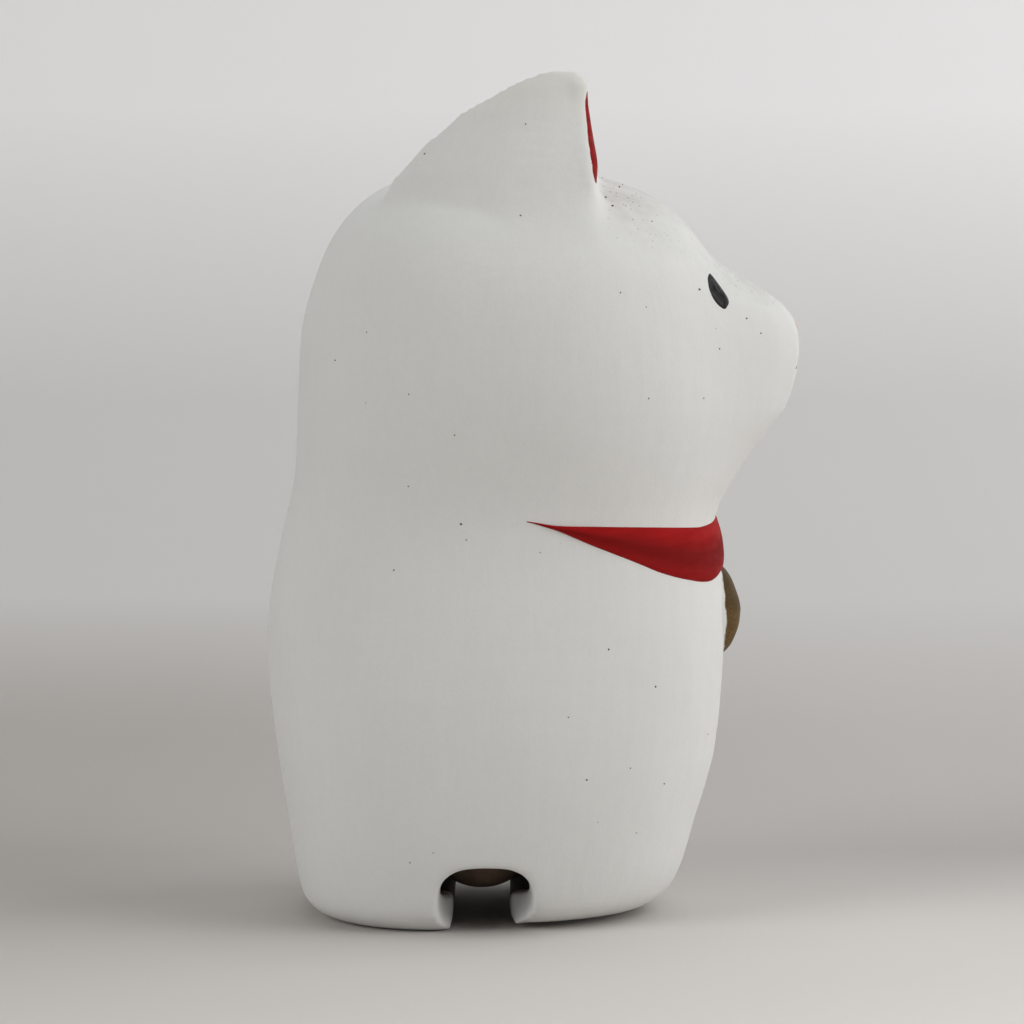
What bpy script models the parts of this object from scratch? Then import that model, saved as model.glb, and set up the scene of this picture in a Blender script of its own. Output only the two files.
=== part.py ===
"""A clay bell in the form of a sitting, beckoning cat, as a Blender model.

Run it with blender --background --python part.py, or from Blender's text editor.
Metres, +Z up. The cat looks along -Y and its left is +X. The origin is on the floor, below the
middle of the cat's box, so the cheeks are WIDTH / 2 away in X and the nose and the back are
DEPTH / 2 away in Y.

The clay is pressed into a front and a back mould. A loose clay ball goes in, the two halves are
luted together with slip, and a slot is cut along the joint through the base, so that the ball
rattles. The raised foreleg, the collar and its bell are put on afterwards. What is painted is
modelled as a thin film.
"""

import math

import bmesh
import bpy
from mathutils import Matrix, Vector

# Overall sizes.
HEIGHT = 0.0796  # floor to ear tips
CROWN = 0.0708  # floor to the top of the head, between the ears
WIDTH = 0.0468  # cheek to cheek
DEPTH = 0.0508  # nose to back

# The pressed clay.
WALL = 0.0038  # at the cheeks, and less where the body is narrower
FLOOR = 0.0030
GAP = 0.0003  # between two pieces that touch, such as the luted halves
SKIN_GAP = 1.5 * GAP  # the same over a curved skin, whose flats and narrows use up part of it
BASE_MIDDLE = 0.0965 * DEPTH  # where the slot and the joint cross the base
PARTING_TOP = -0.042 * DEPTH  # where the joint comes through the ear tips
PARTING_BEND = 0.565 * CROWN  # where the joint starts to run forward

# The slot through the base, and the round scoop at each of its ends.
SLOT_WIDTH = 0.0053
SLOT_TOP = 0.0056
SCOOP_WIDTH = 0.0088
SCOOP_TOP = 0.0063
SCOOP_LEVEL = 0.0030  # the height of its widest line
SCOOP_DEPTH = 0.0080
SCOOP_LEAD = 0.0004  # how far its middle is in front of the slot's
SCOOP_SQUARE = 2.8  # 2 is an ellipse, more is squarer

BALL_DIAMETER = 0.0110
BALL_REST = -0.0055  # it lies to the right of the middle

# The collar, a flat strip that comes to a point at each side, and the bell that hangs on it.
COLLAR_TOP = 0.537 * CROWN  # at the neck
COLLAR_HEIGHT = 0.0062
COLLAR_THICKNESS = 0.0004
COLLAR_TIP = 0.0006  # height left at the pointed ends
COLLAR_END = 0.0042  # from the joint forward to the points
COLLAR_TAPER = 0.0160  # from a point forward to where the strip has its full height
BELL_DIAMETER = 0.0088
BELL_RISE = 0.0014
BELL_LAP = 0.0014  # how far the bell laps over the collar
BELL_Z = COLLAR_TOP - COLLAR_HEIGHT + BELL_LAP - BELL_DIAMETER / 2
BELL_RIB = 0.0002  # how far the rib around its middle stands out

# The limbs.
ARM_RADIUS = 0.0036
PAW_RADIUS = 0.0041
PAW_STRETCH = 1.15  # how much longer the paw is than wide
LEG_RADIUS = 0.0034
LEG_RELIEF = 0.0002  # how far the moulded foreleg stands out of the chest

AROUND = 56  # points around the body
MARGIN = 0.010  # how far the cutters reach past the object

# The body and head, ring by ring from the floor up to the crown. Each row is the ring's height as a
# share of CROWN, then its back, its front, its widest line and its snout as shares of DEPTH, and
# its half width as a share of WIDTH.
RINGS = (
    # height, back, front, widest, snout, half width
    (0.000, 0.372, -0.205, 0.146, 0.000, 0.325),
    (0.007, 0.407, -0.228, 0.146, 0.000, 0.359),
    (0.025, 0.433, -0.257, 0.146, 0.000, 0.389),
    (0.064, 0.447, -0.281, 0.142, 0.000, 0.408),
    (0.127, 0.460, -0.306, 0.138, 0.000, 0.432),
    (0.212, 0.480, -0.341, 0.126, 0.000, 0.453),
    (0.311, 0.496, -0.356, 0.110, 0.000, 0.464),
    (0.395, 0.500, -0.360, 0.091, 0.000, 0.455),
    (0.466, 0.486, -0.354, 0.071, 0.000, 0.436),
    (0.530, 0.467, -0.341, 0.055, 0.000, 0.419),
    (0.579, 0.451, -0.362, 0.043, 0.010, 0.434),
    (0.629, 0.445, -0.380, 0.035, 0.037, 0.462),
    (0.678, 0.443, -0.388, 0.035, 0.085, 0.485),
    (0.727, 0.440, -0.382, 0.035, 0.112, 0.498),
    (0.777, 0.436, -0.370, 0.035, 0.130, 0.500),
    (0.819, 0.425, -0.358, 0.035, 0.113, 0.494),
    (0.852, 0.410, -0.348, 0.035, 0.055, 0.483),
    (0.880, 0.397, -0.335, 0.035, 0.004, 0.466),
    (0.918, 0.370, -0.297, 0.039, 0.000, 0.432),
    (0.955, 0.325, -0.244, 0.043, 0.000, 0.368),
    (0.982, 0.266, -0.165, 0.047, 0.000, 0.274),
    (0.996, 0.187, -0.073, 0.053, 0.000, 0.150),
    (1.000, 0.057, 0.057, 0.057, 0.000, 0.000),
)
SQUARE_FRONT = 2.15  # 2 is an ellipse, more is squarer
SQUARE_BACK = 2.50
SNOUT_SPREAD = 0.205  # half width of the snout, as a share of WIDTH
SNOUT_POWER = 2.5  # 2 is a pointed snout, more is blunter

# An ear, level by level. Each row is the level as a share of the way from the crown up to the ear
# tip, then its outer edge, inner edge and back ridge across the head as shares of WIDTH, its back
# ridge and front face along it as shares of DEPTH, and how far its outer side swells, as a share of
# EAR_SWELL.
EAR_LEVELS = (
    # level, outer, inner, ridge across, ridge along, front, swell
    (-1.10, 0.438, 0.085, 0.262, 0.325, -0.128, 1.00),
    (-0.75, 0.427, 0.085, 0.262, 0.312, -0.121, 1.00),
    (-0.41, 0.406, 0.096, 0.268, 0.300, -0.112, 0.96),
    (-0.09, 0.385, 0.139, 0.275, 0.272, -0.104, 0.86),
    (0.24, 0.363, 0.188, 0.283, 0.209, -0.098, 0.72),
    (0.57, 0.340, 0.239, 0.291, 0.143, -0.093, 0.52),
    (0.83, 0.321, 0.274, 0.297, 0.066, -0.087, 0.28),
    (0.96, 0.312, 0.289, 0.300, 0.008, -0.070, 0.12),
    (1.00, 0.306, 0.297, 0.302, -0.018, -0.042, 0.02),
)
EAR_TURN = 0.0007  # how far the inner edge of an ear's front face leads the outer edge
EAR_SWELL = 0.0058  # pull of the outer side beyond the line from front edge to ridge
EAR_CORNER = 0.0011


# --- scene and small helpers ---------------------------------------------------------------------


def clear_scene():
    for obj in list(bpy.data.objects):
        bpy.data.objects.remove(obj)


def new_collection(name):
    collection = bpy.data.collections.new(name)
    bpy.context.scene.collection.children.link(collection)
    return collection


def material(name, colour, roughness, metallic=0.0):
    made = bpy.data.materials.new(name)
    made.use_nodes = True
    shader = made.node_tree.nodes["Principled BSDF"]
    shader.inputs["Base Color"].default_value = (*colour, 1.0)
    shader.inputs["Roughness"].default_value = roughness
    shader.inputs["Metallic"].default_value = metallic
    made.diffuse_color = (*colour, 1.0)
    return made


def node(name, mesh, finish, collection):
    """A visible piece of the object."""
    obj = bpy.data.objects.new(name, mesh)
    mesh.materials.clear()
    mesh.materials.append(finish)
    collection.objects.link(obj)
    return obj


def tool(name, mesh, collection):
    """A cutter, or a form that only Booleans use."""
    obj = bpy.data.objects.new(name, mesh)
    obj.hide_render = True
    obj.display_type = "WIRE"
    collection.objects.link(obj)
    return obj


def boolean(obj, operation, other):
    modifier = obj.modifiers.new(f"{operation.lower()} {other.name}", "BOOLEAN")
    modifier.operation = operation
    modifier.object = other


def evaluated_mesh(obj):
    bpy.context.view_layer.update()
    graph = bpy.context.evaluated_depsgraph_get()
    return bpy.data.meshes.new_from_object(obj.evaluated_get(graph))


def finished_mesh(name, bm, smooth_angle=math.radians(40)):
    bmesh.ops.recalc_face_normals(bm, faces=bm.faces)
    mesh = bpy.data.meshes.new(name)
    bm.to_mesh(mesh)
    bm.free()
    mesh.shade_smooth()
    mesh.set_sharp_from_angle(angle=smooth_angle)
    return mesh


def smooth_row(rows, t):
    """A row of numbers a share t of the way along a Catmull-Rom spline through rows."""
    place = t * (len(rows) - 1)
    k = min(int(place), len(rows) - 2)
    u = place - k
    before = rows[max(k - 1, 0)]
    start, end = rows[k], rows[k + 1]
    after = rows[min(k + 2, len(rows) - 1)]
    found = []
    for p, a, b, q in zip(before, start, end, after):
        pull_a, pull_b = (b - p) / 2, (q - a) / 2
        found.append(
            a
            + pull_a * u
            + (3 * (b - a) - 2 * pull_a - pull_b) * u**2
            + (2 * (a - b) + pull_a + pull_b) * u**3
        )
    return found


def loft(name, sections):
    """A closed skin over sections of equally many points. A section of one point closes an end in a
    tip, and any other end section is capped flat."""
    bm = bmesh.new()
    rows = [[bm.verts.new(point) for point in section] for section in sections]
    for low, high in zip(rows, rows[1:]):
        count = max(len(low), len(high))
        for i in range(count):
            j = (i + 1) % count
            if len(high) == 1:
                bm.faces.new((low[i], low[j], high[0]))
            else:
                bm.faces.new((low[i], low[j], high[j], high[i]))
    bm.faces.new(rows[0])
    if len(rows[-1]) > 1:
        bm.faces.new(rows[-1])
    return finished_mesh(name, bm)


def prism(name, outline, collection):
    """A cutter that runs right across the cat along X, with an outline of (y, z) points."""
    curve = bpy.data.curves.new(name, "CURVE")
    curve.dimensions = "2D"
    curve.fill_mode = "BOTH"
    curve.extrude = WIDTH
    spline = curve.splines.new("POLY")
    spline.points.add(len(outline) - 1)
    for point, (y, z) in zip(spline.points, outline):
        point.co = (y, z, 0.0, 1.0)
    spline.use_cyclic_u = True
    guide = bpy.data.objects.new(name, curve)
    collection.objects.link(guide)
    mesh = evaluated_mesh(guide)
    bpy.data.objects.remove(guide)
    bm = bmesh.new()
    bm.from_mesh(mesh)
    bmesh.ops.remove_doubles(bm, verts=bm.verts, dist=1e-6)
    to_cat = Matrix(((0, 0, 1, 0), (1, 0, 0, 0), (0, 1, 0, 0), (0, 0, 0, 1)))
    bmesh.ops.transform(bm, matrix=to_cat, verts=bm.verts)
    return tool(name, finished_mesh(name, bm), collection)


def ellipsoid(name, centre, radii, collection, segments=20, rings=12):
    bm = bmesh.new()
    bmesh.ops.create_uvsphere(bm, u_segments=segments, v_segments=rings, radius=1.0)
    bmesh.ops.scale(bm, vec=radii, verts=bm.verts)
    bmesh.ops.translate(bm, vec=centre, verts=bm.verts)
    return tool(name, finished_mesh(name, bm), collection)


def tube(name, path, collection, resolution=4):
    """A round rod along path, a list of (point, radius)."""
    curve = bpy.data.curves.new(name, "CURVE")
    curve.dimensions = "3D"
    curve.bevel_depth = 1.0
    curve.bevel_resolution = resolution
    curve.use_fill_caps = True
    spline = curve.splines.new("POLY")
    spline.points.add(len(path) - 1)
    for point, (place, radius) in zip(spline.points, path):
        point.co = (*place, 1.0)
        point.radius = radius
    guide = bpy.data.objects.new(name, curve)
    collection.objects.link(guide)
    mesh = evaluated_mesh(guide)
    bpy.data.objects.remove(guide)
    bm = bmesh.new()
    bm.from_mesh(mesh)
    bmesh.ops.remove_doubles(bm, verts=bm.verts, dist=1e-6)
    return tool(name, finished_mesh(name, bm), collection)


# --- the form of the body ------------------------------------------------------------------------


def superellipse(share, power):
    """How far a superellipse reaches at a share of its half width."""
    return max(0.0, 1.0 - min(abs(share), 1.0) ** power) ** (1.0 / power)


def ring_at(t, grow=0.0, base=0.0):
    """The sizes of the ring a share t of the way up, for a body grown by grow whose floor is at
    base: its height, back, front, widest line, snout and half width."""
    level, back, front, widest, snout, half = smooth_row(RINGS, t)
    along = (DEPTH / 2 + grow) * 2
    across = (WIDTH / 2 + grow) * 2
    height = base + level * (CROWN + grow - base)
    return height, back * along, front * along, widest * along, snout * along, half * across


def body_point(angle, t, grow=0.0, base=0.0):
    """A point of the ring a share t of the way up. Angle 0 is the cat's left, pi / 2 its back."""
    height, back, front, widest, snout, half = ring_at(t, grow, base)
    across, along = math.cos(angle), math.sin(angle)
    power = SQUARE_BACK if along > 0 else SQUARE_FRONT
    x = half * math.copysign(abs(across) ** (2 / power), across)
    reach = (back - widest if along > 0 else widest - front) * abs(along) ** (2 / power)
    y = widest + math.copysign(reach, along)
    if along < 0:
        y -= snout * snout_share(x) * abs(along) ** (2 / power)
    return x, y, height


def snout_share(x):
    return math.exp(-(abs(x / (SNOUT_SPREAD * WIDTH)) ** SNOUT_POWER))


def body_mesh(name, grow=0.0, base=0.0, around=AROUND, steps=2):
    count = steps * (len(RINGS) - 1)
    angles = [2 * math.pi * i / around for i in range(around)]
    sections = [[body_point(a, k / count, grow, base) for a in angles] for k in range(count)]
    height, _, _, widest, _, _ = ring_at(1.0, grow, base)
    sections.append([(0.0, widest, height)])
    return loft(name, sections)


def share_at(height):
    """The share of the way up the rings at which the body has this height."""
    low, high = 0.0, 1.0
    for _ in range(30):
        middle = (low + high) / 2
        if ring_at(middle)[0] < height:
            low = middle
        else:
            high = middle
    return low


def front_y(x, z):
    """Where the body's front surface is."""
    _, _, front, widest, snout, half = ring_at(share_at(z))
    reach = (widest - front) * superellipse(x / half, SQUARE_FRONT)
    return widest - reach - snout * snout_share(x) * reach / (widest - front)


def side_x(y, z):
    """Half the body's width at y, in front of its widest line."""
    _, _, front, widest, _, half = ring_at(share_at(z))
    return half * superellipse((widest - y) / (widest - front), SQUARE_FRONT)


# --- the ears ------------------------------------------------------------------------------------


def rounded(corners, radius, steps=4):
    """The outline of a polygon with its corners rounded, steps points to a corner."""
    points = []
    for k, corner in enumerate(corners):
        before = (Vector(corners[k - 1]) - Vector(corner))
        after = (Vector(corners[(k + 1) % len(corners)]) - Vector(corner))
        cut = min(radius, before.length * 0.45, after.length * 0.45)
        start = Vector(corner) + before.normalized() * cut
        end = Vector(corner) + after.normalized() * cut
        for i in range(steps):
            u = i / (steps - 1)
            points.append(
                (1 - u) ** 2 * start + 2 * u * (1 - u) * Vector(corner) + u**2 * end
            )
    return points


def ear_section(row, side, swell_steps=5):
    """The outline of an ear at one level. side is 1 for the left ear and -1 for the right."""
    level, outer, inner, ridge_x, ridge_y, front, swell = row
    z = CROWN + level * (HEIGHT - CROWN)
    outer, inner, ridge_x = outer * WIDTH, inner * WIDTH, ridge_x * WIDTH
    ridge_y, front = ridge_y * DEPTH, front * DEPTH
    turn = EAR_TURN * min(1.0, (outer - inner) / (0.2 * WIDTH))
    pull = swell * EAR_SWELL
    corners = [(outer, front), (inner, front - turn), (ridge_x, ridge_y)]
    points = rounded(corners, EAR_CORNER)
    start, end = points[-1], points[0]
    middle = (start + end) / 2 + Vector((pull, 0.0))
    for k in range(1, swell_steps):
        u = k / swell_steps
        points.append((1 - u) ** 2 * start + 2 * u * (1 - u) * middle + u**2 * end)
    return [(side * x, y, z) for x, y in points]


def ear(name, side, collection):
    return tool(name, loft(name, [ear_section(row, side) for row in EAR_LEVELS]), collection)


# --- the limbs -----------------------------------------------------------------------------------


def resting_leg(collection):
    """The right foreleg, moulded in low relief down the chest, with both ends sunk in the body."""
    bends = (
        # share of WIDTH across, share of CROWN up, how much deeper than the rest
        (-0.252, 0.430, 0.0020),
        (-0.230, 0.365, 0.0003),
        (-0.206, 0.290, 0.0),
        (-0.184, 0.215, 0.0),
        (-0.168, 0.140, 0.0),
        (-0.160, 0.085, 0.0003),
        (-0.158, 0.045, 0.0020),
    )
    path = []
    for across, up, deeper in bends:
        x, z = across * WIDTH, up * CROWN
        depth = LEG_RADIUS - LEG_RELIEF + deeper
        path.append(((x, front_y(x, z) + depth, z), LEG_RADIUS))
    return tube("resting_leg", path, collection)


def raised_arm(collection):
    """The left foreleg, from the shoulder up to the paw beside the cheek."""
    bends = (
        # share of CROWN up, share of DEPTH along, how far its middle stands outside the body
        (0.255, -0.030, -0.0046),
        (0.320, -0.080, -0.0024),
        (0.400, -0.132, -0.0008),
        (0.480, -0.185, 0.0000),
        (0.565, -0.232, 0.0001),
        (0.640, -0.268, -0.0002),
        (0.706, -0.292, -0.0004),
    )
    path = []
    for up, along, stand in bends:
        y, z = along * DEPTH, up * CROWN
        path.append(((side_x(y, z) + stand, y, z), ARM_RADIUS))
    arm = tube("arm_rod", path, collection)
    paw_centre = path[-1][0]
    paw_radii = (PAW_RADIUS, PAW_RADIUS, PAW_RADIUS * PAW_STRETCH)
    boolean(arm, "UNION", ellipsoid("paw_form", paw_centre, paw_radii, collection))
    return arm


# --- the collar and its bell ---------------------------------------------------------------------


def collar_edges(y):
    """The collar's lower and upper edge at a place y along the neck."""
    share = (BASE_MIDDLE - COLLAR_END - y) / COLLAR_TAPER
    height = COLLAR_TIP + (COLLAR_HEIGHT - COLLAR_TIP) * min(max(share, 0.0), 1.0)
    return COLLAR_TOP - height, COLLAR_TOP


def collar_mesh(name, inside, outside, margin=0.0, columns=48, rows=4):
    """The collar's strip between two distances from the body, with a margin on every edge."""
    _, _, front, widest, _, _ = ring_at(share_at(COLLAR_TOP))
    reach = max(widest - BASE_MIDDLE + COLLAR_END - margin, 0.0)
    start = math.asin((reach / (widest - front)) ** (SQUARE_FRONT / 2))
    bm = bmesh.new()
    skins = []
    for grow in (inside, outside):
        grid = []
        for i in range(columns + 1):
            angle = -start - (math.pi - 2 * start) * i / columns
            along = abs(math.sin(angle)) ** (2 / SQUARE_FRONT)
            low, high = collar_edges(widest - (widest - front) * along)
            column = []
            for j in range(rows + 1):
                z = low - margin + (high - low + 2 * margin) * j / rows
                column.append(bm.verts.new(body_point(angle, share_at(z), grow)))
            grid.append(column)
        skins.append(grid)
    inner, outer = skins
    for grid in skins:
        for left, right in zip(grid, grid[1:]):
            for j in range(rows):
                bm.faces.new((left[j], right[j], right[j + 1], left[j + 1]))
    for i in range(columns):
        for j in (0, rows):
            bm.faces.new((inner[i][j], inner[i + 1][j], outer[i + 1][j], outer[i][j]))
    for i in (0, columns):
        for j in range(rows):
            bm.faces.new((inner[i][j], inner[i][j + 1], outer[i][j + 1], outer[i][j]))
    return finished_mesh(name, bm)


def collar_bell(name, grow, collection):
    """A round bell half sunk in the chest, with a rib around its middle."""
    bm = bmesh.new()
    bmesh.ops.create_uvsphere(bm, u_segments=32, v_segments=16, radius=1.0)
    radius = BELL_DIAMETER / 2 + grow
    bmesh.ops.scale(bm, vec=(radius, BELL_RISE + grow, radius), verts=bm.verts)
    for vert in bm.verts:
        if abs(vert.co.z) < radius / 100:
            vert.co += Vector((vert.co.x, vert.co.y, 0.0)).normalized() * BELL_RIB
    bmesh.ops.translate(bm, vec=(0.0, front_y(0.0, BELL_Z), BELL_Z), verts=bm.verts)
    return tool(name, finished_mesh(name, bm), collection)


# --- the shells ----------------------------------------------------------------------------------


def parting_y(z):
    """Where the two halves meet: over the slot, then forward to the middle of the ears."""
    share = min(max((z - PARTING_BEND) / (HEIGHT - PARTING_BEND), 0.0), 1.0)
    return BASE_MIDDLE + (PARTING_TOP - BASE_MIDDLE) * share * share * (3 - 2 * share)


def half_space(name, side, collection, steps=12):
    """Everything in front of the joint (side -1) or behind it (side 1), less half the gap."""
    far = side * DEPTH
    bottom, top = -MARGIN, HEIGHT + MARGIN
    outline = [(far, bottom), (BASE_MIDDLE + side * GAP / 2, bottom)]
    for k in range(steps + 1):
        z = PARTING_BEND + (HEIGHT - PARTING_BEND) * k / steps
        outline.append((parting_y(z) + side * GAP / 2, z))
    outline.append((outline[-1][0], top))
    outline.append((far, top))
    return prism(name, outline, collection)


def slot_cutter(collection):
    """The slot across the base."""
    front, back = BASE_MIDDLE - SLOT_WIDTH / 2, BASE_MIDDLE + SLOT_WIDTH / 2
    outline = [(front, -MARGIN), (back, -MARGIN), (back, SLOT_TOP), (front, SLOT_TOP)]
    return prism("slot", outline, collection)


def scoop(side, collection):
    """The round hollow at one end of the slot."""
    _, _, _, _, _, half = ring_at(share_at(SCOOP_LEVEL))
    centre = Vector((side * half, BASE_MIDDLE - SCOOP_LEAD, SCOOP_LEVEL))
    radii = (SCOOP_DEPTH, SCOOP_WIDTH / 2, SCOOP_TOP - SCOOP_LEVEL)
    name = f"scoop_{'left' if side > 0 else 'right'}"
    obj = ellipsoid(name, (0.0, 0.0, 0.0), radii, collection, segments=28, rings=16)
    for vert in obj.data.vertices:
        shares = [abs(vert.co[i]) / radii[i] for i in range(3)]
        square_reach = sum(share**SCOOP_SQUARE for share in shares) ** (1 / SCOOP_SQUARE)
        vert.co *= Vector(shares).length / square_reach
        vert.co += centre
    return obj


def shell(name, side, clay, tools, finish, parts):
    """One pressed half of the body."""
    obj = node(name, clay.copy(), finish, parts)
    boolean(obj, "INTERSECT", half_space(f"{name}_side", side, tools))
    return obj


def ball_height():
    """The height of the ball's middle as it lies on the two inner edges of the slot."""
    return FLOOR + math.sqrt((BALL_DIAMETER / 2) ** 2 - (SLOT_WIDTH / 2) ** 2) + GAP


def main():
    clear_scene()
    parts = new_collection("beckoning_cat_bell")
    tools = new_collection("tools")

    white = material("white_ground", (0.62, 0.62, 0.59), 0.75)
    white_back = material("white_ground_back", (0.60, 0.60, 0.57), 0.75)
    white_arm = material("white_ground_foreleg", (0.63, 0.63, 0.60), 0.75)
    red = material("red_paint", (0.24, 0.012, 0.010), 0.60)
    gold = material("brown_gold_paint", (0.115, 0.078, 0.040), 0.45)
    bare = material("bare_clay", (0.38, 0.26, 0.18), 0.90)

    form = tool("form", body_mesh("form"), tools)
    for side, name in ((1, "ear_left"), (-1, "ear_right")):
        boolean(form, "UNION", ear(name, side, tools))
    boolean(form, "UNION", resting_leg(tools))
    cavity = body_mesh("cavity", grow=-WALL, base=FLOOR, around=40, steps=1)
    boolean(form, "DIFFERENCE", tool("cavity", cavity, tools))
    boolean(form, "DIFFERENCE", slot_cutter(tools))
    for side in (1, -1):
        boolean(form, "DIFFERENCE", scoop(side, tools))
    clay = evaluated_mesh(form)
    shell("front_shell", -1, clay, tools, white, parts)
    shell("back_shell", 1, clay, tools, white_back, parts)

    skin = tool("skin", body_mesh("skin", grow=SKIN_GAP), tools)
    collar_room = collar_mesh("collar_room", 0.0, SKIN_GAP + COLLAR_THICKNESS + GAP, GAP)
    arm = node("raised_foreleg", evaluated_mesh(raised_arm(tools)), white_arm, parts)
    boolean(arm, "DIFFERENCE", skin)
    boolean(arm, "DIFFERENCE", tool("collar_room", collar_room, tools))

    collar = collar_mesh("collar", SKIN_GAP, SKIN_GAP + COLLAR_THICKNESS)
    collar = node("collar", collar, red, parts)
    boolean(collar, "DIFFERENCE", collar_bell("bell_room", GAP, tools))

    bell = node("collar_bell", evaluated_mesh(collar_bell("bell_form", 0.0, tools)), gold, parts)
    boolean(bell, "DIFFERENCE", skin)

    bpy.ops.mesh.primitive_uv_sphere_add(segments=32, ring_count=16, radius=BALL_DIAMETER / 2)
    ball = bpy.context.active_object
    ball.name = "rattle_ball"
    ball.location = (BALL_REST, BASE_MIDDLE, ball_height())
    ball.data.shade_smooth()
    ball.data.materials.append(bare)
    for collection in list(ball.users_collection):
        collection.objects.unlink(ball)
    parts.objects.link(ball)


main()
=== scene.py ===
"""The looks of the beckoning cat clay bell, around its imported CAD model.

The cat looks along -Y and its left is +X. Lengths are in metres. The sections follow the bell as it
is made: pressed, luted and pierced, then whitened and painted.
"""

import math

import bmesh
import bpy
import numpy as np
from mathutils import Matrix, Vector
from mathutils.bvhtree import BVHTree


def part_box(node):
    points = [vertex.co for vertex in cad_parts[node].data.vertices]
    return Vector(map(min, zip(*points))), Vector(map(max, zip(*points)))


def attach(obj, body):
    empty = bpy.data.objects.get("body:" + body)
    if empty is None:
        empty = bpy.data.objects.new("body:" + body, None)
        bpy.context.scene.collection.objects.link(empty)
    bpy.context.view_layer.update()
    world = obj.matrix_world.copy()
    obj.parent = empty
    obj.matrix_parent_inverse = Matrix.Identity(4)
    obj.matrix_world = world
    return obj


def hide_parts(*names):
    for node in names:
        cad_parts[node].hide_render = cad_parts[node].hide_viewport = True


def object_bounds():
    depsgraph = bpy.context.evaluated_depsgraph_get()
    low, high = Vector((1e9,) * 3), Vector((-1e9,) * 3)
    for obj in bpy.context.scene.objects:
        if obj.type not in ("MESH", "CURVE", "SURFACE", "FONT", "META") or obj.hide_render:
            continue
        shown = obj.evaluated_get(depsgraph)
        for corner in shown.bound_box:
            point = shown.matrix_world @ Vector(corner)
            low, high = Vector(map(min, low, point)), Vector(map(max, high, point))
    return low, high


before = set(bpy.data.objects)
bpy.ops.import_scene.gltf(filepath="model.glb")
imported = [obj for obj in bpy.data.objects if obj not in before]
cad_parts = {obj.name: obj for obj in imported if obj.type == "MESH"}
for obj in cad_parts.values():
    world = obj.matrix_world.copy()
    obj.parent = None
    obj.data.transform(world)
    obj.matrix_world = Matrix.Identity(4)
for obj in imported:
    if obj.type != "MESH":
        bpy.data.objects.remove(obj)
cad_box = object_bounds()
scene = bpy.context.scene
BODY = "figure"


# --- The table and the light ---------------------------------------------------------------------
# A sheet of white card that sweeps up behind the cat, in soft daylight that comes mostly from
# above and from in front of the cat. The camera looks square at the cat's right side, slightly
# from above.

CARD_WIDTH = 1.60
CARD_NEAR = -0.45
CARD_FLAT = 0.15  # where the card starts to bend up
CARD_BEND = 0.40
CARD_RISE = 0.90
CARD_STEPS = 32

slot_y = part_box("front_shell")[1].y
top_z = cad_box[1][2]


def shader_of(name):
    """A new material and its Principled shader."""
    made = bpy.data.materials.new(name)
    made.use_nodes = True
    return made, made.node_tree.nodes["Principled BSDF"]


def add_node(material, kind, **values):
    """A node with its settings, and its inputs by name where the name starts a capital."""
    node = material.node_tree.nodes.new(kind)
    for key, value in values.items():
        if key[0].isupper():
            node.inputs[key.replace("_", " ")].default_value = value
        else:
            setattr(node, key, value)
    return node


def join(material, source, target):
    material.node_tree.links.new(source, target)


def object_place(material, stretch=(1.0, 1.0, 1.0)):
    place = add_node(material, "ShaderNodeTexCoord")
    mapping = add_node(material, "ShaderNodeMapping", Scale=stretch)
    join(material, place.outputs["Object"], mapping.inputs["Vector"])
    return mapping.outputs["Vector"]


def noise(material, place, scale, detail=2.0, roughness=0.5):
    node = add_node(
        material, "ShaderNodeTexNoise", Scale=scale, Detail=detail, Roughness=roughness
    )
    join(material, place, node.inputs["Vector"])
    return node.outputs["Fac"]


def ranged(material, value, low, high, to_low=0.0, to_high=1.0):
    node = add_node(material, "ShaderNodeMapRange")
    node.inputs["From Min"].default_value = low
    node.inputs["From Max"].default_value = high
    node.inputs["To Min"].default_value = to_low
    node.inputs["To Max"].default_value = to_high
    join(material, value, node.inputs["Value"])
    return node.outputs["Result"]


def times(material, first, second):
    node = add_node(material, "ShaderNodeMath", operation="MULTIPLY")
    for value, socket in zip((first, second), node.inputs):
        if isinstance(value, float):
            socket.default_value = value
        else:
            join(material, value, socket)
    return node.outputs["Value"]


def blended(material, share, first, second):
    """first where share is 0 and second where it is 1; each is a colour or a socket."""
    node = add_node(material, "ShaderNodeMix", data_type="RGBA")
    join(material, share, node.inputs["Factor"])
    for value, name in ((first, "A"), (second, "B")):
        socket = next(i for i in node.inputs if i.name == name and i.type == "RGBA")
        if isinstance(value, tuple):
            socket.default_value = (*value, 1.0)
        else:
            join(material, value, socket)
    return next(o for o in node.outputs if o.type == "RGBA")


# The card's colour holds painted shade: greyer low on the rising wall, a painted shadow under the
# cat and beyond it, away from the camera, and painted lighter towards the cat's front (-Y), where
# the window light falls.
card_material, card_shader = shader_of("white_card")
card_place = object_place(card_material)
card_axes = add_node(card_material, "ShaderNodeSeparateXYZ")
join(card_material, card_place, card_axes.inputs["Vector"])
# Painted shade: the rising wall is darker low down.
raised = ranged(card_material, card_axes.outputs["Z"], 0.040, 0.095)
wall = blended(card_material, raised, (0.645, 0.638, 0.625), (0.880, 0.868, 0.872))
# Painted light: the floor is lighter towards the cat's front (-Y).
beside = ranged(card_material, card_axes.outputs["Y"], 0.05, -0.05)
near = blended(card_material, beside, (0.700, 0.668, 0.636), (0.940, 0.905, 0.870))
# Painted shadow: the floor under and beyond the cat is darker.
under = blended(card_material, beside, (0.470, 0.446, 0.425), (0.560, 0.541, 0.528))
ahead = ranged(card_material, card_axes.outputs["X"], -0.07, 0.04)
floor = blended(card_material, ahead, near, under)
flat = ranged(card_material, card_axes.outputs["Z"], 0.012, 0.0)
colour = blended(card_material, flat, wall, floor)
join(card_material, colour, card_shader.inputs["Base Color"])
card_shader.inputs["Roughness"].default_value = 0.9
card_shader.inputs["Specular IOR Level"].default_value = 0.2

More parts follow.
